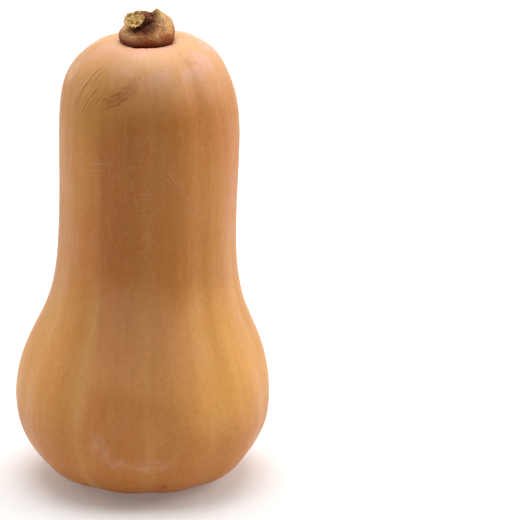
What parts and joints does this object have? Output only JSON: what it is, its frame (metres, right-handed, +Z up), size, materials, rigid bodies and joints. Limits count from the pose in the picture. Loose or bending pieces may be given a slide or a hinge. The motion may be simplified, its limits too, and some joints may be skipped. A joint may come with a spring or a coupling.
{
  "type": "butternut squash",
  "caption": "Butternut squash standing upright on its blossom end, with a round belly, a thick smooth neck, shallow furrows and a squat dry stem stub with a torn end.",
  "frame": {"origin": "on the surface that the squash stands on, under the middle of its bounding box", "axes": "+Z runs up from the blossom end to the stem; -Y is the front of the picture, so +X is its right"},
  "size_m": [0.1246, 0.124, 0.235],
  "materials": {
    "rind": "satin waxy skin, pale orange tan, with pale furrows and fine scratches",
    "stem": "dry corky bark, brown and grey, with a straw-coloured torn end"
  },
  "bodies": {
    "root": {"fruit": "rind", "stem": "stem"}
  },
  "joints": []
}
